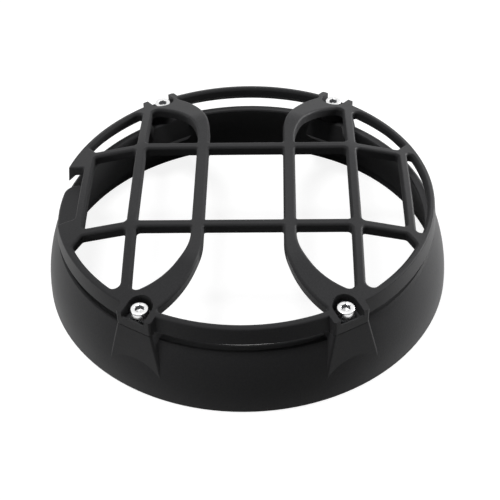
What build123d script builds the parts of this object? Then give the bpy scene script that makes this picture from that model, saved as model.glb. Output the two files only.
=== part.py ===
from build123d import *
import os
from math import cos, hypot, radians, sin, sqrt, tan

# Headlight guard for a round lamp: a base ring that slips over the lamp's rim, and a domed grille
# that stands on four towers of the base and is held down by four cap screws.
# Millimetres. Origin at the centre of the bottom rim, +Z towards the grille, -Y towards the viewer.

# Base ring
lamp_radius = 97.0
seat_clearance = 0.2
seat_wall = 3.9
seat_depth = 5.0
base_height = 33.0
base_taper = 7.6
base_wall = 4.4
rim_break = 0.8

# Cap of the grille: a dome with a ring round its edge
rim_gap = 4.3
ring_setback = 0.5
ring_width = 3.4
ring_height = 9.1
ring_rise = 0.7
ring_flare = 1.0
ring_lip = 0.6
ring_round = 1.0
crown_rise = 8.0
crown_ratio = 0.645
crown_blend = 30.0
bar_depth = 5.0

# Bars in plan: their places as ratios of the ring's radius, widths and corner radii
level_bar_ratio = 0.3204
level_bar_width = 4.6
straight_bar_ratio = 0.5731
straight_bar_width = 5.0
outer_bar_ratio = 0.8538
outer_bar_width = 4.6
bow_ratio = 0.2022
bow_width = 6.0
inner_bend_ratio = 0.4409
outer_bend_ratio = 0.3871
bow_end_angle = 64.4
loop_wall = 2.8
bar_round = 1.3
corner_round = 1.8
bow_corner_round = 1.0
deep_corner_round = 3.0
plate_end_angle = 25.1
slot_end_width = 2.8

# Cut in the ring, and the pad of the base that stands in it
cut_half_angle = 13.6
cut_round = 0.8
pad_rise = 0.7
pad_width = 37.4
pad_reach = 11.5
pad_depth = 4.0
pad_round = 1.5
pad_corner_round = 7.0

# Feet of the grille and towers of the base
screw_angle = 59.6
screw_inset = 2.3
foot_width = 18.8
foot_proud = 4.0
foot_floor = 2.5
foot_lip = 0.9
foot_lip_rise = 2.4
foot_round = 1.2
pocket_radius = 6.2
pocket_wall = 1.5
tower_draft_angle = 12.5
tower_lean_angle = 4.7
tower_depth = 13.3
seam_break = 0.5

# Fasteners, M5
screw_diameter = 5.0
screw_length = 16.0
head_diameter = 8.5
head_height = 5.0
head_chamfer = 0.5
socket_across_flats = 4.0
socket_depth = 2.6
tip_chamfer = 0.6
hole_clearance = 0.5
washer_outside = 9.2
washer_inside = 5.3
washer_thickness = 1.2
washer_slit = 0.9
washer_slit_lean = 35.0
insert_diameter = 7.0
insert_length = 9.5
insert_sink = 0.2
insert_clearance = 0.1
thread_clearance = 0.1
tip_room = 1.0

# Sizes that follow
seat_radius = lamp_radius + seat_clearance
base_radius = seat_radius + seat_wall
rim_radius = base_radius - base_taper
wall_arc = (base_height**2 + base_taper**2) / (2 * base_taper)
seam = base_height + rim_gap
ring_radius = rim_radius - ring_setback
ring_inside = ring_radius - ring_width
ring_top = seam + ring_height
crown = ring_top + crown_rise
ring_bottom = seam + ring_rise
crown_radius = crown_ratio * ring_radius
fall = crown_rise / (ring_radius - crown_radius)

level_bar_y = level_bar_ratio * ring_radius
straight_bar_x = straight_bar_ratio * ring_radius
outer_bar_x = outer_bar_ratio * ring_radius
bow_inside = bow_ratio * ring_radius
bow_outside = bow_inside + bow_width
bow_bend_inside = inner_bend_ratio * ring_radius
bow_bend_outside = outer_bend_ratio * ring_radius
level_inside = level_bar_y - level_bar_width / 2
level_outside = level_bar_y + level_bar_width / 2
straight_inside = straight_bar_x - straight_bar_width / 2
straight_outside = straight_bar_x + straight_bar_width / 2
outer_inside = outer_bar_x - outer_bar_width / 2
outer_outside = outer_bar_x + outer_bar_width / 2

screw_radius = rim_radius - screw_inset
screw_angles = (screw_angle, 180 - screw_angle, 180 + screw_angle, -screw_angle)
foot_face = ring_radius + foot_proud
foot_back = screw_radius - pocket_radius - pocket_wall
floor_top = seam + foot_floor
washer_top = floor_top + washer_thickness
screw_tip = washer_top - screw_length
insert_top = seam - insert_sink
insert_bottom = insert_top - insert_length
far = 2 * base_radius
close = 0.01


def dome(radius):
    """Height of the cap's top at a distance from the axis, before the crown is blended in."""
    return crown - max(0.0, radius - crown_radius) * fall


def polar(radius, angle):
    """Plan point at a distance from the axis and an angle from +X."""
    return (radius * cos(radians(angle)), radius * sin(radians(angle)))


def on_ring(x):
    """Plan point of the ring's inside at a given X."""
    return (x, sqrt(ring_inside**2 - x**2))


def plan_box(x_range, y_range):
    """Plan rectangle between two X and two Y values."""
    middle = Pos(sum(x_range) / 2, sum(y_range) / 2)
    return middle * Rectangle(x_range[1] - x_range[0], y_range[1] - y_range[0])


def corner(face, point):
    """The corner of a plan face nearest to a point."""
    return face.vertices().sort_by_distance((*point, 0))[0]


def rounded(face, *corners):
    """A plan face with the corner nearest to each given point rounded by the radius beside it."""
    for point, radius in corners:
        face = fillet(corner(face, point), radius)
    return face


def spun(points, *corners):
    """Solid of revolution about Z of an outline of radius and height, with some corners rounded."""
    outline = rounded(make_face(Polyline(*points, close=True)), *corners)
    return revolve(Plane.XZ * outline, Axis.Z)


def raised(face, bottom, top):
    """Upright solid of a plan face between two heights."""
    return extrude(Pos(0, 0, bottom) * face, top - bottom)


def both_sides(face):
    """A plan face and its mirror image across the Y axis."""
    return [face, mirror(face, Plane.YZ)]


def both_ends(faces):
    """Plan faces and their mirror images across the X axis."""
    return faces + [mirror(face, Plane.XZ) for face in faces]


def centre_opening():
    """Gap between the bows and the level bars."""
    return fillet(Rectangle(2 * bow_inside, 2 * level_inside).vertices(), bow_corner_round)


def end_opening():
    """Gap between the bows, from a level bar to the ring."""
    start = (bow_inside, level_outside)
    bend = (bow_inside, bow_bend_inside)
    ring = polar(ring_inside, bow_end_angle)
    side = [Line(start, bend), TangentArc(bend, ring, tangent=(0, 1))]
    other_side = [mirror(edge, Plane.YZ) for edge in side]
    across = Line(start, (-start[0], start[1]))
    rim = ThreePointArc(ring, (0, ring_inside), (-ring[0], ring[1]))
    face = make_face(side + other_side + [across, rim])
    corners = [((sx * x, y), r) for sx in (1, -1) for (x, y), r in
               ((start, bow_corner_round), (ring, bow_corner_round))]
    return rounded(face, *corners)


def side_opening():
    """Gap between a bow, a straight bar and the level bars."""
    face = plan_box((bow_outside, straight_inside), (-level_inside, level_inside))
    corners = [((x, sy * level_inside), r) for sy in (1, -1) for x, r in
               ((bow_outside, bow_corner_round), (straight_inside, corner_round))]
    return rounded(face, *corners)


def loop_opening():
    """Gap between a bow and a straight bar, closed where they meet at the foot."""
    start = (bow_outside, level_outside)
    bend = (bow_outside, bow_bend_outside)
    end = (straight_inside, polar(screw_radius, screw_angle)[1] - pocket_radius - loop_wall)
    crossing = (straight_inside, level_outside)
    sweep = TangentArc(bend, end, tangent=(0, 1))
    face = make_face([Line(start, bend), sweep, Line(end, crossing), Line(crossing, start)])
    return rounded(face, (start, bow_corner_round), (crossing, corner_round), (end, deep_corner_round))


def outer_opening():
    """Gap between a straight bar, an outer bar and the level bars."""
    return fillet(plan_box((straight_outside, outer_inside), (-level_inside, level_inside)).vertices(),
                  corner_round)


def corner_opening():
    """Gap between a straight bar, a level bar and the ring, cut short by the corner plate."""
    start = (straight_outside, level_outside)
    plate = (outer_inside, level_outside)
    plate_end = polar(ring_inside, plate_end_angle)
    ring_end = on_ring(straight_outside)
    middle = polar(ring_inside, (plate_end_angle + screw_angle) / 2)
    rim = ThreePointArc(plate_end, middle, ring_end)
    face = make_face([Line(start, plate), Line(plate, plate_end), rim, Line(ring_end, start)])
    return rounded(face, (start, corner_round), (plate, corner_round),
                   (plate_end, corner_round), (ring_end, deep_corner_round))


def slot_opening():
    """Slot between the outer bar and the ring, on the +X side only."""
    chord = outer_outside + slot_end_width
    end = sqrt(ring_inside**2 - chord**2)
    rim = ThreePointArc((chord, -end), (ring_inside, 0), (chord, end))
    sides = Polyline((chord, end), (outer_outside, end), (outer_outside, -end), (chord, -end))
    face = make_face([rim, sides])
    return fillet(face.vertices(), slot_end_width / 2)


def ring_cut():
    """Sector taken out of the ring on the -X side, out to beyond it."""
    inner = outer_outside * tan(radians(cut_half_angle))
    outer = far * tan(radians(cut_half_angle))
    corners = ((-outer_outside, inner), (-far, outer), (-far, -outer), (-outer_outside, -inner))
    face = make_face(Polyline(*corners, close=True))
    return rounded(face, (corners[0], corner_round), (corners[3], corner_round))


def foot_plan():
    """Plan of a foot along +X: a block across the ring, and a round boss behind it for the pocket."""
    block = plan_box((ring_inside, foot_face), (-foot_width / 2, foot_width / 2))
    block = rounded(block, *[((foot_face, s * foot_width / 2), foot_round) for s in (1, -1)])
    boss = Pos(screw_radius, 0) * Circle(pocket_radius + pocket_wall)
    return block + (boss & plan_box((0, foot_face), (-far, far)))


def upright_edges(solid):
    """Edges of the upright walls, each with its middle and that point's distance from the axis."""
    for side in solid.faces():
        if abs(side.normal_at().Z) < close:
            for edge in side.edges():
                point = edge.position_at(0.5)
                yield edge, point, hypot(point.X, point.Y)


def top_edges(solid):
    """Edges where the walls of the closed gaps meet the domed top."""
    edges = ShapeList()
    for edge, point, radius in upright_edges(solid):
        closed = radius < ring_inside + close and point.X > close - outer_outside
        level = abs(edge.tangent_at(0.5).Z) < 0.5
        if closed and level and point.Z > dome(radius) - bar_depth / 2:
            edges.append(edge)
    return edges


def cut_edges(solid):
    """Edges of the ring's cut along its top and down the ring's outside."""
    cut_reach = (ring_radius + ring_flare) * sin(radians(cut_half_angle))
    edges = ShapeList()
    for edge, point, radius in upright_edges(solid):
        in_cut = point.X < close - outer_outside and abs(point.Y) < cut_reach
        level = abs(edge.tangent_at(0.5).Z) < 0.5 and point.Z > dome(radius) - bar_depth / 2
        outside = radius > ring_radius - ring_round and point.Z > ring_bottom + close
        if in_cut and (level or outside):
            edges.append(edge)
    return edges


def cap():
    """Dome with a ring round its edge and four feet, before any gap is cut."""
    edge = foot_face + foot_width
    crease = (crown_radius, crown)
    solid = spun(((0, seam), (edge, seam), (edge, dome(edge)), crease, (0, crown)), (crease, crown_blend))
    feet = [raised(Rot(0, 0, angle) * foot_plan(), 0, far) for angle in screw_angles]
    crease = (crown_radius, crown - bar_depth)
    lip = ring_radius + ring_flare
    hollow = spun(((0, 0), (far, 0), (far, ring_bottom), (lip - ring_lip, ring_bottom),
                   (ring_inside, dome(ring_inside) - bar_depth), crease, (0, crown - bar_depth)),
                  (crease, crown_blend))
    outside = spun(((lip, ring_bottom), (far, ring_bottom), (far, ring_top), (ring_radius, ring_top)))
    outside += raised(Circle(far) - Circle(ring_radius), ring_top, crown)
    for tool in (hollow, outside):
        for foot in feet:
            tool -= foot
        solid -= tool
    circles = solid.edges().filter_by(GeomType.CIRCLE)
    return fillet([edge for edge in circles if abs(edge.center().Z - ring_top) < close], ring_round)


def pocket():
    """Room for a screw's head along +X, open outwards above a low lip, and the screw's hole."""
    mouth = Pos(screw_radius, 0) * Circle(pocket_radius)
    mouth += plan_box((screw_radius, far), (-pocket_radius, pocket_radius))
    inside = mouth & plan_box((0, foot_face - foot_lip), (-far, far))
    hole = Pos(screw_radius, 0) * Circle((screw_diameter + hole_clearance) / 2)
    room = raised(inside, floor_top, crown) + raised(mouth, floor_top + foot_lip_rise, crown)
    return room + raised(hole, 0, crown)


def grille():
    """Cap and feet in one moulding, with the gaps between its bars cut through."""
    solid = cap()
    gaps = [centre_opening(), slot_opening(), ring_cut()]
    gaps += both_ends([end_opening()]) + both_sides(side_opening()) + both_sides(outer_opening())
    gaps += both_ends(both_sides(loop_opening()) + both_sides(corner_opening()))
    for gap in gaps:
        solid -= raised(gap, 0, crown + bar_depth)
    solid = fillet(cut_edges(solid), cut_round)
    solid = fillet(top_edges(solid), bar_round)
    for angle in screw_angles:
        solid -= Rot(0, 0, angle) * pocket()
    return solid


def wall(height, inset=0):
    """Radius of the base's bulging wall at a height, some way in from its outside."""
    return base_radius - wall_arc + sqrt((wall_arc - inset)**2 - height**2)


def tower():
    """Tower under a foot, along +X: its front leans out, its sides widen, its inside slopes into the wall."""
    lean = tan(radians(tower_lean_angle))
    half = foot_width / 2
    spread = half + seam * tan(radians(tower_draft_angle))
    tip = seam - (foot_face - foot_back + tower_depth) / (1 - lean)
    outline = ((foot_back, seam), (foot_face, seam), (foot_face + lean * (seam - tip), tip),
               (foot_back, seam - tower_depth))
    side_view = make_face(Polyline(*outline, close=True))
    front_view = make_face(Polyline((-half, seam), (half, seam), (spread, 0), (-spread, 0), close=True))
    block = extrude(Plane.XZ * side_view, far, both=True) & extrude(Plane.YZ * front_view, far)
    front = block.faces().sort_by(Axis.X)[-1]
    corners = [edge for edge in front.edges() if abs(edge.tangent_at(0.5).Z) > 0.5]
    block = fillet(corners, foot_round)
    return chamfer(block.faces().sort_by(Axis.Z)[-1].edges(), seam_break)


def pad():
    """Smooth pad on the rim below the ring's cut, along +X, its outside flush with the rim."""
    half = pad_width / 2
    plan = plan_box((rim_radius - pad_reach, far), (-half, half)) & Circle(rim_radius)
    plan = rounded(plan, *[((rim_radius, s * half), pad_corner_round) for s in (1, -1)])
    block = raised(plan, base_height - pad_depth, seam + pad_rise)
    return fillet(block.faces().sort_by(Axis.Z)[-1].edges(), pad_round)


def base_ring():
    """Bulging wall with the lamp's seat at its foot, four towers with screw holes, and the pad."""
    middle = base_height / 2
    bottom = (base_radius, 0)
    rim = (rim_radius, base_height)
    inner_rim = (wall(base_height, base_wall), base_height)
    step = (wall(seat_depth, base_wall), seat_depth)
    outside = ThreePointArc(bottom, (wall(middle), middle), rim)
    inside = ThreePointArc(inner_rim, (wall(middle, base_wall), middle), step)
    seat = Polyline(step, (seat_radius, seat_depth), (seat_radius, 0), bottom)
    outline = make_face([outside, Line(rim, inner_rim), inside, seat])
    outline = chamfer([corner(outline, point) for point in (bottom, rim, inner_rim)], rim_break)
    solid = revolve(Plane.XZ * outline, Axis.Z)
    solid += Rot(0, 0, 180) * pad()
    bore = Pos(screw_radius, 0) * Circle((insert_diameter + insert_clearance) / 2)
    hole = Pos(screw_radius, 0) * Circle((screw_diameter + hole_clearance) / 2)
    drilling = raised(bore, insert_bottom, crown) + raised(hole, screw_tip - tip_room, crown)
    for angle in screw_angles:
        solid += Rot(0, 0, angle) * tower()
    for angle in screw_angles:
        solid -= Rot(0, 0, angle) * drilling
    return solid


def cap_screw():
    """Socket head cap screw, its head standing on the XY plane."""
    head = raised(Circle(head_diameter / 2), 0, head_height)
    head = chamfer(head.edges().sort_by(Axis.Z)[-1], head_chamfer)
    shank = raised(Circle(screw_diameter / 2), -screw_length, 0)
    shank = chamfer(shank.edges().sort_by(Axis.Z)[0], tip_chamfer)
    socket = RegularPolygon(socket_across_flats / 2, 6, major_radius=False)
    return head + shank - raised(socket, head_height - socket_depth, head_height)


def spring_washer():
    """Split washer lying on the XY plane, its slanted slit on the -Y side."""
    ring = Circle(washer_outside / 2) - Circle(washer_inside / 2)
    slit = Pos(0, -washer_outside / 2, washer_thickness / 2) * Rot(0, washer_slit_lean, 0)
    slit *= Box(washer_slit, washer_outside, 4 * washer_thickness)
    return raised(ring, 0, washer_thickness) - slit


def threaded_insert():
    """Plain sleeve of the threaded insert, standing on the XY plane."""
    bore = Circle((screw_diameter + thread_clearance) / 2)
    return raised(Circle(insert_diameter / 2) - bore, 0, insert_length)


def at_screws(piece, height):
    """One copy of a fastener on each screw's axis, at a height."""
    return Compound([Pos(*polar(screw_radius, angle), height) * piece for angle in screw_angles])


nodes = {
    "base_ring": base_ring(),
    "grille": grille(),
    "cap_screws": at_screws(cap_screw(), washer_top),
    "spring_washers": at_screws(spring_washer(), floor_top),
    "threaded_inserts": at_screws(threaded_insert(), insert_bottom),
}
os.makedirs("parts", exist_ok=True)
for name, shape in nodes.items():
    export_step(shape, f"parts/{name}.step")
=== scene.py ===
import math

import bmesh
import bpy
from bpy.props import FloatProperty, FloatVectorProperty, IntProperty, PointerProperty
from mathutils import Euler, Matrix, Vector


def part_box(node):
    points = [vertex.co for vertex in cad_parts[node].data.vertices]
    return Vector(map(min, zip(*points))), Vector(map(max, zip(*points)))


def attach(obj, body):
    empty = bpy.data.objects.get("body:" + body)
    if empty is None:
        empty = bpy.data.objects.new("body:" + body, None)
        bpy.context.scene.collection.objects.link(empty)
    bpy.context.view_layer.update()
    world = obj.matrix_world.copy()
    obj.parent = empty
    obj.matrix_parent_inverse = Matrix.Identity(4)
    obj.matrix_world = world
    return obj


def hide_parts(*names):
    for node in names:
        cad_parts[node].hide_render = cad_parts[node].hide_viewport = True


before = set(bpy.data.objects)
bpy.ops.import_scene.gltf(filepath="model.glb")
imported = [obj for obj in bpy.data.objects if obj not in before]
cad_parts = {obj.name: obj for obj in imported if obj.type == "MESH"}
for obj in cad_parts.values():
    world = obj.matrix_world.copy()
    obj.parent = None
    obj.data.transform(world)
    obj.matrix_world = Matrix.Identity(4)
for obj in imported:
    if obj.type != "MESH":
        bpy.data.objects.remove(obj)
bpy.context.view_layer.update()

bl_info = {
    "name": "Headlight guard",
    "version": (1, 0, 0),
    "blender": (4, 5, 0),
    "location": "3D View > Sidebar > Guard",
    "description": "Dresses the packed headlight guard and sets it on a studio floor",
    "category": "Object",
}

MM = 0.001

# Moulded nylon

# Nylon itself is about 1.53. The grain scatters part of the sheen, so a lower value is used.
NYLON_IOR = 1.35
# Roughness of the outside, from its shiniest patch to its dullest.
NYLON_ROUGH = (0.44, 0.56)
# Share by which the colour swings about its mean from grain to grain.
TINT_SWING = 0.18
GRAIN_HEIGHT = 0.12 * MM
GRAIN_STRENGTH = 0.35
# Turn to the axis, times distance from it, at which a face is as rough as it gets.
TURNED_IN = 10 * MM

# Metals

# A plating's grain of a few hundredths of a millimetre is drawn this coarse, so that it shows.
CLOUD_SIZE = 0.5 * MM
CLOUD_HEIGHT = 0.05 * MM
CLOUD_STRENGTH = 0.15
# Roughness of each steel, from its smoothest cloud to its dullest.
BRIGHT_ROUGH = (0.2, 0.34)
PAINTED_SHADE_ROUGH = (0.45, 0.6)
SPRING_ROUGH = (0.5, 0.65)
BRASS_ROUGH = 0.3
# Distance along the axis between the marks that the lathe leaves in brass, and their depth.
TOOL_MARK = 0.4 * MM
TOOL_DEPTH = 0.05 * MM
TOOL_STRENGTH = 0.3
TOOL_WANDER = 0.2
# A wave texture of scale 1 runs through this many radians in one metre.
WAVE_TURN = 20

# Screws and washers

# Depth of a metric thread, as a share of its pitch.
THREAD_DEPTH = 0.6134
# Shares of half a pitch in which the thread lies flat at its root, and then rises to its crest.
ROOT_FLAT = 0.15
FLANK = 0.65
# Steps of the round at the top of the head, in degrees.
HEAD_BENDS = (0, 30, 60, 90)
# Flat ring round the socket, as a share of the radius at its corners.
SOCKET_RING = 1.06
# Depths of the socket's bevel and of its drilled end, as shares of the socket's depth.
SOCKET_BEVEL = 0.1
DRILL_DEPTH = 1.2
# Radius at the drilled end's tip, as a share of the radius at the corners.
DRILL_TIP = 0.2
SHARP_EDGE = math.radians(40)
ROLLED_EDGE = 0.15 * MM

# Stage, in metres

FLOOR_SIZE = 6.0
LAMP_AIM = (0.0, 0.0, 0.03)
# Name, place and size of each lamp, and the property that holds its power.
LAMPS = (
    ("top_lamp", (-0.13, -0.1, 0.9), (0.25, 0.25), "top_power"),
    ("left_lamp", (-0.9, -0.3, 0.12), (0.5, 0.2), "left_power"),
    ("right_lamp", (0.75, 0.35, 0.25), (0.5, 0.35), "right_power"),
)


def linear(code):
    """An sRGB hex colour as the linear values that Blender's sockets hold."""
    parts = [int(code[i:i + 2], 16) / 255 for i in (1, 3, 5)]
    return [c / 12.92 if c <= 0.04045 else ((c + 0.055) / 1.055) ** 2.4 for c in parts]


def add(tree, kind, links=None, **settings):
    """Adds one node, with its settings, and joins or sets its sockets."""
    node = tree.nodes.new(kind)
    for name, value in settings.items():
        setattr(node, name, value)
    for socket, source in (links or {}).items():
        if isinstance(source, bpy.types.NodeSocket):
            tree.links.new(source, node.inputs[socket])
        else:
            node.inputs[socket].default_value = source
    return node


def new_material(name):
    """An empty material and its node tree."""
    material = bpy.data.materials.new(name)
    material.use_nodes = True
    material.node_tree.nodes.clear()
    return material, material.node_tree


def seen_rays(tree):
    """A socket that is 1 for rays that show a thing, straight, in a mirror or through glass."""
    path = add(tree, "ShaderNodeLightPath")
    seen = path.outputs["Is Camera Ray"]
    for kind in ("Is Glossy Ray", "Is Transmission Ray"):
        either = add(tree, "ShaderNodeMath", {0: seen, 1: path.outputs[kind]}, operation="MAXIMUM")
        seen = either.outputs[0]
    return seen


# Materials

def moulded_nylon(finish):
    """Glass-filled black nylon, injection moulded in a spark-eroded tool.

    The eye gets a satin black that is nearly matt, with a fine even grain and a grazing sheen.
    """
    material, tree = new_material("moulded_black_nylon")
    place = add(tree, "ShaderNodeTexCoord").outputs["Object"]
    # The real grain is about 0.15 mm, too fine to show, so it is drawn coarser.
    grain = add(tree, "ShaderNodeTexNoise", {
        "Vector": place, "Scale": 1 / finish.grain_size, "Detail": 3.0})
    flow = add(tree, "ShaderNodeTexNoise", {
        "Vector": place, "Scale": 1 / finish.flow_size, "Detail": 2.0})
    dark = [*((1 - TINT_SWING) * c for c in finish.plastic_colour), 1.0]
    light = [*((1 + TINT_SWING) * c for c in finish.plastic_colour), 1.0]
    # A colour mix has its factor in socket 0, its two colours in 6 and 7, and its result in 2.
    tint = add(tree, "ShaderNodeMix", {0: grain.outputs["Fac"], 6: dark, 7: light},
               data_type="RGBA")
    sheen = add(tree, "ShaderNodeMapRange", {
        "Value": flow.outputs["Fac"], "To Min": NYLON_ROUGH[0], "To Max": NYLON_ROUGH[1]})
    bump = add(tree, "ShaderNodeBump", {
        "Height": grain.outputs["Fac"], "Strength": GRAIN_STRENGTH, "Distance": GRAIN_HEIGHT})
    # The tool's core is left coarser than its outside, so faces towards the axis are rougher.
    side = add(tree, "ShaderNodeNewGeometry").outputs["Normal"]
    reach = add(tree, "ShaderNodeVectorMath", {0: place, 1: (1, 1, 0)}, operation="MULTIPLY")
    outward = add(tree, "ShaderNodeVectorMath", {0: side, 1: reach.outputs["Vector"]},
                  operation="DOT_PRODUCT")
    inner = add(tree, "ShaderNodeMapRange", {
        "Value": outward.outputs["Value"], "From Min": -TURNED_IN, "From Max": 0.0,
        "To Min": finish.inner_roughness, "To Max": 0.0})
    rough = add(tree, "ShaderNodeMath", {0: sheen.outputs["Result"], 1: inner.outputs["Result"]},
                operation="MAXIMUM")
    shader = add(tree, "ShaderNodeBsdfPrincipled", {
        "Base Color": tint.outputs[2], "Roughness": rough.outputs[0],
        "Normal": bump.outputs["Normal"], "IOR": NYLON_IOR,
        "Specular Tint": [*[finish.plastic_gloss] * 3, 1.0]})
    add(tree, "ShaderNodeOutputMaterial", {"Surface": shader.outputs["BSDF"]})
    return material


def cloudy_metal(name, colour, rough_range):
    """A metal whose roughness and surface vary in small clouds."""
    material, tree = new_material(name)
    place = add(tree, "ShaderNodeTexCoord").outputs["Object"]
    cloud = add(tree, "ShaderNodeTexNoise", {
        "Vector": place, "Scale": 1 / CLOUD_SIZE, "Detail": 2.0})
    rough = add(tree, "ShaderNodeMapRange", {
        "Value": cloud.outputs["Fac"], "To Min": rough_range[0], "To Max": rough_range[1]})
    bump = add(tree, "ShaderNodeBump", {
        "Height": cloud.outputs["Fac"], "Strength": CLOUD_STRENGTH, "Distance": CLOUD_HEIGHT})
    shader = add(tree, "ShaderNodeBsdfPrincipled", {
        "Base Color": [*colour, 1.0], "Metallic": 1.0, "Roughness": rough.outputs["Result"],
        "Normal": bump.outputs["Normal"]})
    add(tree, "ShaderNodeOutputMaterial", {"Surface": shader.outputs["BSDF"]})
    return material


def plated_steel(finish):
    """Cold-headed steel with bright zinc plating.

    The eye gets a pale metal with soft highlights, a little uneven where the plating is thin.
    """
    return cloudy_metal("zinc_plated_steel", finish.steel_colour, BRIGHT_ROUGH)


def painted_shade_steel(finish):
    """Steel darkened as painted shade, on the hex socket's walls and on the band between the knurl
    and the head's round.

    The eye gets a grey metal with hardly a highlight.
    """
    return cloudy_metal("thin_plated_steel", finish.painted_shade_colour, PAINTED_SHADE_ROUGH)


def painted_shade_washer_steel(finish):
    """Hardened spring steel, darkened as painted shade for the washers' place deep under the screw
    heads.

    The eye gets a nearly black metal without highlights.
    """
    return cloudy_metal("phosphated_spring_steel", finish.washer_painted_shade_colour, SPRING_ROUGH)


def turned_brass(finish):
    """Free-cutting brass, turned on a lathe.

    The eye gets a warm yellow metal with fine rings from the tool.
    """
    material, tree = new_material("turned_brass")
    place = add(tree, "ShaderNodeTexCoord").outputs["Object"]
    rings = add(tree, "ShaderNodeTexWave", {
        "Vector": place, "Scale": 2 * math.pi / (WAVE_TURN * TOOL_MARK), "Distortion": TOOL_WANDER},
        bands_direction="Z")
    bump = add(tree, "ShaderNodeBump", {
        "Height": rings.outputs["Fac"], "Strength": TOOL_STRENGTH, "Distance": TOOL_DEPTH})
    shader = add(tree, "ShaderNodeBsdfPrincipled", {
        "Base Color": [*finish.brass_colour, 1.0], "Metallic": 1.0, "Roughness": BRASS_ROUGH,
        "Normal": bump.outputs["Normal"]})
    add(tree, "ShaderNodeOutputMaterial", {"Surface": shader.outputs["BSDF"]})
    return material


def studio_floor(stage):
    """Pale paper sweep. It shows as white, and keeps the shadow of what stands on it."""
    material, tree = new_material("white_paper_floor")
    paper = add(tree, "ShaderNodeBsdfDiffuse", {"Color": [*stage.floor_colour, 1.0]})
    glow = add(tree, "ShaderNodeEmission", {"Color": (1, 1, 1, 1), "Strength": stage.floor_white})
    shaded = add(tree, "ShaderNodeBsdfDiffuse", {"Color": [*[stage.floor_shade] * 3, 1.0]})
    white = add(tree, "ShaderNodeAddShader", {0: glow.outputs[0], 1: shaded.outputs[0]})
    mixed = add(tree, "ShaderNodeMixShader", {
        0: seen_rays(tree), 1: paper.outputs[0], 2: white.outputs[0]})
    add(tree, "ShaderNodeOutputMaterial", {"Surface": mixed.outputs[0]})
    return material


# Sizes and colours

class GuardFinish(bpy.types.PropertyGroup):
    """Colours and grain of the guard's materials."""
    plastic_colour: FloatVectorProperty(
        name="Plastic", description="Colour of the moulded nylon", subtype="COLOR", size=3,
        default=linear("#3a3a3b"))
    plastic_gloss: FloatProperty(
        name="Plastic gloss", description="Share of the gloss left when seen face on",
        subtype="FACTOR", default=0.05)
    inner_roughness: FloatProperty(
        name="Inner roughness", description="Roughness of faces that look inwards",
        subtype="FACTOR", default=0.9)
    grain_size: FloatProperty(
        name="Grain", description="Size of the moulded grain", unit="LENGTH", default=0.9 * MM)
    flow_size: FloatProperty(
        name="Flow", description="Size of the uneven sheen left by moulding", unit="LENGTH",
        default=35 * MM)
    steel_colour: FloatVectorProperty(
        name="Steel", description="Colour of the zinc-plated steel", subtype="COLOR", size=3,
        default=linear("#eeeeee"))
    # Painted shade: the dark grey of the socket's walls and of the band under the head's round.
    painted_shade_colour: FloatVectorProperty(
        name="Dull steel", description="Colour of thinly plated steel", subtype="COLOR", size=3,
        default=linear("#737476"))
    # Painted shade: the washers' nearly black stands for the shade deep under the screw heads.
    washer_painted_shade_colour: FloatVectorProperty(
        name="Spring steel", description="Colour of the phosphated spring steel", subtype="COLOR",
        size=3, default=linear("#3a3b3d"))
    brass_colour: FloatVectorProperty(
        name="Brass", description="Colour of the turned brass", subtype="COLOR", size=3,
        default=linear("#c9a765"))


class GuardScrew(bpy.types.PropertyGroup):
    """Sizes of one M5 socket head cap screw."""
    head_diameter: FloatProperty(
        name="Head", description="Diameter of the head", unit="LENGTH", default=8.5 * MM)
    head_height: FloatProperty(
        name="Head height", description="Height of the head", unit="LENGTH", default=5 * MM)
    head_round: FloatProperty(
        name="Head round", description="Radius round the top of the head", unit="LENGTH",
        default=0.5 * MM)
    head_band: FloatProperty(
        name="Head band", description="Plain band between the knurl and the round", unit="LENGTH",
        default=0.4 * MM)
    ridges: IntProperty(
        name="Ridges", description="Ridges of the straight knurl round the head", default=48)
    ridge_depth: FloatProperty(
        name="Ridge depth", description="Depth of the knurl", unit="LENGTH", default=0.14 * MM)
    socket_flats: FloatProperty(
        name="Socket", description="Width of the hex socket across its flats", unit="LENGTH",
        default=4 * MM)
    socket_depth: FloatProperty(
        name="Socket depth", description="Depth of the hex socket", unit="LENGTH",
        default=2.6 * MM)
    diameter: FloatProperty(
        name="Thread", description="Outer diameter of the thread", unit="LENGTH", default=5 * MM)
    length: FloatProperty(
        name="Length", description="Length under the head", unit="LENGTH", default=16 * MM)
    pitch: FloatProperty(
        name="Pitch", description="Pitch of the thread", unit="LENGTH", default=0.8 * MM)
    rows: IntProperty(
        name="Rows", description="Rows of points in one turn of the thread", default=6)


class GuardStage(bpy.types.PropertyGroup):
    """Camera, floor and lamps."""
    camera_place: FloatVectorProperty(
        name="Camera", description="Place of the camera", subtype="TRANSLATION", unit="LENGTH",
        default=(17.085 * MM, -466.875 * MM, 435.430 * MM))
    camera_turn: FloatVectorProperty(
        name="Camera turn", description="Turn of the camera", subtype="EULER",
        default=[math.radians(a) for a in (47.5957, 1.2190, 0.7938)])
    camera_angle: FloatProperty(
        name="Field of view", description="Angle across the picture", subtype="ANGLE",
        default=math.radians(22.9906))
    floor_colour: FloatVectorProperty(
        name="Floor", description="Colour of the paper floor", subtype="COLOR", size=3,
        default=linear("#444444"))
    floor_white: FloatProperty(
        name="Floor white", description="How white the floor shows by itself", default=0.88)
    floor_shade: FloatProperty(
        name="Floor shade", description="How much light from the lamps the floor shows",
        subtype="FACTOR", default=0.3)
    top_power: FloatProperty(
        name="Top lamp", description="Power of the lamp overhead", unit="POWER", default=4.9)
    left_power: FloatProperty(
        name="Left lamp", description="Power of the lamp on the left", unit="POWER", default=1.2)
    right_power: FloatProperty(
        name="Right lamp", description="Power of the lamp on the right", unit="POWER", default=7.8)
    world_light: FloatProperty(
        name="Room light", description="Strength of the light from all round", default=0.01)


# Shapes

def dress(node, material):
    """Gives a CAD node one material."""
    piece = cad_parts[node]
    piece.data.materials.clear()
    piece.data.materials.append(material)
    return piece


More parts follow.
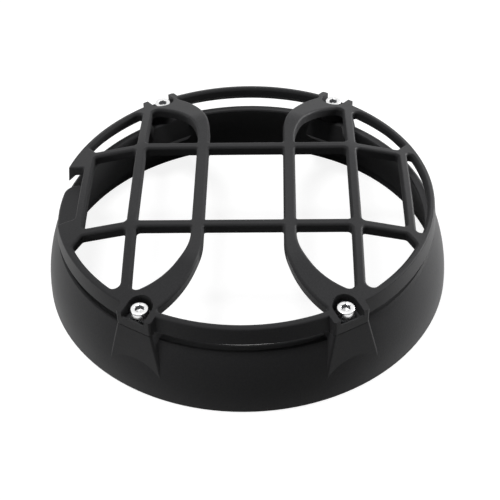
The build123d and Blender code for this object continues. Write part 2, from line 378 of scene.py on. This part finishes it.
def screw_loops(screw):
    """Loops of points of one screw, from its tip up over the head and down into the hex socket.

    Each comes with a mark that says whether the strip of faces below it is of steel darkened as
    painted shade.
    """
    sides = 2 * screw.ridges
    turns = [2 * math.pi * k / sides for k in range(sides)]
    crest = screw.diameter / 2
    root = crest - THREAD_DEPTH * screw.pitch
    head = screw.head_diameter / 2
    top = screw.head_height
    flat = math.pi / 3
    hexagon = [screw.socket_flats / 2 / math.cos((t + flat / 2) % flat - flat / 2) for t in turns]
    corner = max(hexagon)
    loops = []

    def loop(height, radii, in_painted_shade=False):
        points = [Vector((r * math.cos(t), r * math.sin(t), height)) for r, t in zip(radii, turns)]
        loops.append((points, in_painted_shade))

    steps = round(screw.length / screw.pitch) * screw.rows
    for step in range(steps + 1):
        along = step / screw.rows
        height = along * screw.pitch
        waves = [1 - abs(2 * ((along - t / (2 * math.pi)) % 1) - 1) for t in turns]
        ridges = [min(1.0, max(0.0, (wave - ROOT_FLAT) / FLANK)) for wave in waves]
        point = root - screw.pitch / 2 + height
        loop(height - screw.length, [min(point, root + ridge * (crest - root)) for ridge in ridges])
    knurl = [head - screw.ridge_depth * (k % 2) for k in range(sides)]
    loop(0, [head - 2 * screw.ridge_depth] * sides)
    loop(screw.ridge_depth, knurl)
    loop(top - screw.head_round - screw.head_band, knurl)
    for bend in HEAD_BENDS:
        angle = math.radians(bend)
        radius = head - screw.ridge_depth - screw.head_round * (1 - math.cos(angle))
        # The band between the knurl and the round is painted shade, a dark line under the head's
        # rim.
        loop(top - screw.head_round * (1 - math.sin(angle)), [radius] * sides, bend == 0)
    loop(top, [SOCKET_RING * corner] * sides)
    loop(top - SOCKET_BEVEL * screw.socket_depth, hexagon)
    # The hex socket's walls are painted shade.
    loop(top - screw.socket_depth, hexagon, True)
    loop(top - DRILL_DEPTH * screw.socket_depth, [DRILL_TIP * corner] * sides)
    return loops


def skin(bm, loops, place):
    """Closes loops of points into one skin of quads, moved to a place."""
    rows = [[bm.verts.new(point + place) for point in points] for points, in_painted_shade in loops]
    for low, high, (points, in_painted_shade) in zip(rows, rows[1:], loops[1:]):
        for k in range(len(low)):
            face = bm.faces.new((low[k - 1], low[k], high[k], high[k - 1]))
            # Material 1 is the steel darkened as painted shade.
            face.material_index = int(in_painted_shade)
    bm.faces.new(reversed(rows[0]))
    bm.faces.new(rows[-1])


def softbox(name, place, size, power):
    """A soft rectangular lamp at a place, turned towards the guard."""
    lamp = bpy.data.lights.new(name, "AREA")
    lamp.shape = "RECTANGLE"
    lamp.size, lamp.size_y = size
    lamp.energy = power
    piece = bpy.data.objects.new(name, lamp)
    piece.location = place
    piece.rotation_euler = (Vector(LAMP_AIM) - Vector(place)).to_track_quat("-Z", "Y").to_euler()
    bpy.context.scene.collection.objects.link(piece)


# Pieces

class GUARD_OT_base_ring(bpy.types.Operator):
    """Dresses the moulded ring that slips over the lamp's rim"""
    bl_idname = "guard.base_ring"
    bl_label = "Base ring"

    def execute(self, context):
        dress("base_ring", moulded_nylon(context.scene.guard_finish))
        return {"FINISHED"}


class GUARD_OT_grille(bpy.types.Operator):
    """Dresses the domed grille in the base ring's plastic"""
    bl_idname = "guard.grille"
    bl_label = "Grille"

    def execute(self, context):
        dress("grille", bpy.data.materials["moulded_black_nylon"])
        return {"FINISHED"}


class GUARD_OT_cap_screws(bpy.types.Operator):
    """Makes the socket head cap screws, with knurled heads and threads"""
    bl_idname = "guard.cap_screws"
    bl_label = "Cap screws"

    def execute(self, context):
        screw = context.scene.guard_screw
        lowest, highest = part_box("cap_screws")
        loops = screw_loops(screw)
        bm = bmesh.new()
        for x in (lowest[0] + screw.head_diameter / 2, highest[0] - screw.head_diameter / 2):
            for y in (lowest[1] + screw.head_diameter / 2, highest[1] - screw.head_diameter / 2):
                skin(bm, loops, Vector((x, y, highest[2] - screw.head_height)))
        mesh = bpy.data.meshes.new("knurled_cap_screws")
        bm.to_mesh(mesh)
        bm.free()
        mesh.shade_smooth()
        mesh.set_sharp_from_angle(angle=SHARP_EDGE)
        mesh.materials.append(plated_steel(context.scene.guard_finish))
        # The second material darkens the socket and the band under the round as painted shade.
        mesh.materials.append(painted_shade_steel(context.scene.guard_finish))
        piece = bpy.data.objects.new("knurled_cap_screws", mesh)
        context.scene.collection.objects.link(piece)
        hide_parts("cap_screws")
        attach(piece, "root")
        return {"FINISHED"}


class GUARD_OT_spring_washers(bpy.types.Operator):
    """Dresses the split washers under the screw heads and rolls their edges"""
    bl_idname = "guard.spring_washers"
    bl_label = "Spring washers"

    def execute(self, context):
        # The washers' steel is darkened as painted shade.
        washers = dress("spring_washers", painted_shade_washer_steel(context.scene.guard_finish))
        edges = washers.modifiers.new("rolled_edges", "BEVEL")
        edges.width = ROLLED_EDGE
        edges.segments = 2
        edges.limit_method = "ANGLE"
        return {"FINISHED"}


class GUARD_OT_threaded_inserts(bpy.types.Operator):
    """Dresses the threaded inserts inside the towers"""
    bl_idname = "guard.threaded_inserts"
    bl_label = "Threaded inserts"

    def execute(self, context):
        dress("threaded_inserts", turned_brass(context.scene.guard_finish))
        return {"FINISHED"}


class GUARD_OT_stage(bpy.types.Operator):
    """Sets the floor, the room, the lamps and the camera"""
    bl_idname = "guard.stage"
    bl_label = "Stage"

    def execute(self, context):
        scene = context.scene
        stage = scene.guard_stage
        bpy.ops.mesh.primitive_plane_add(size=FLOOR_SIZE)
        floor = context.object
        floor.name = "floor"
        floor.data.materials.append(studio_floor(stage))

        world = bpy.data.worlds.new("studio")
        world.use_nodes = True
        tree = world.node_tree
        tree.nodes.clear()
        # The room shows as white, and gives the guard little light of its own.
        power = add(tree, "ShaderNodeMapRange", {
            "Value": seen_rays(tree), "To Min": stage.world_light, "To Max": 1.0})
        room = add(tree, "ShaderNodeBackground", {
            "Color": (1, 1, 1, 1), "Strength": power.outputs["Result"]})
        add(tree, "ShaderNodeOutputWorld", {"Surface": room.outputs[0]})
        scene.world = world

        for name, place, size, power_name in LAMPS:
            softbox(name, place, size, getattr(stage, power_name))

        lens = bpy.data.cameras.new("camera")
        lens.sensor_fit = "HORIZONTAL"
        lens.angle = stage.camera_angle
        camera = bpy.data.objects.new("camera", lens)
        camera.location = stage.camera_place
        camera.rotation_euler = Euler(stage.camera_turn, "XYZ")
        scene.collection.objects.link(camera)
        scene.camera = camera
        scene.view_settings.view_transform = "Standard"
        return {"FINISHED"}


OPERATORS = (GUARD_OT_base_ring, GUARD_OT_grille, GUARD_OT_cap_screws, GUARD_OT_spring_washers,
             GUARD_OT_threaded_inserts, GUARD_OT_stage)


class GUARD_PT_sidebar(bpy.types.Panel):
    """Lists the guard's finishes, sizes, stage and operators"""
    bl_idname = "GUARD_PT_sidebar"
    bl_label = "Headlight guard"
    bl_space_type = "VIEW_3D"
    bl_region_type = "UI"
    bl_category = "Guard"

    def draw(self, context):
        scene = context.scene
        for group in (scene.guard_finish, scene.guard_screw, scene.guard_stage):
            for name in group.bl_rna.properties.keys():
                if name not in ("rna_type", "name"):
                    self.layout.prop(group, name)
        for operator in OPERATORS:
            self.layout.operator(operator.bl_idname)


CLASSES = (GuardFinish, GuardScrew, GuardStage, *OPERATORS, GUARD_PT_sidebar)


def register():
    for item in CLASSES:
        bpy.utils.register_class(item)
    bpy.types.Scene.guard_finish = PointerProperty(type=GuardFinish)
    bpy.types.Scene.guard_screw = PointerProperty(type=GuardScrew)
    bpy.types.Scene.guard_stage = PointerProperty(type=GuardStage)


def unregister():
    del bpy.types.Scene.guard_stage
    del bpy.types.Scene.guard_screw
    del bpy.types.Scene.guard_finish
    for item in reversed(CLASSES):
        bpy.utils.unregister_class(item)


def main():
    register()
    bpy.ops.guard.base_ring()
    bpy.ops.guard.grille()
    bpy.ops.guard.cap_screws()
    bpy.ops.guard.spring_washers()
    bpy.ops.guard.threaded_inserts()
    bpy.ops.guard.stage()


if __name__ == "__main__":
    main()
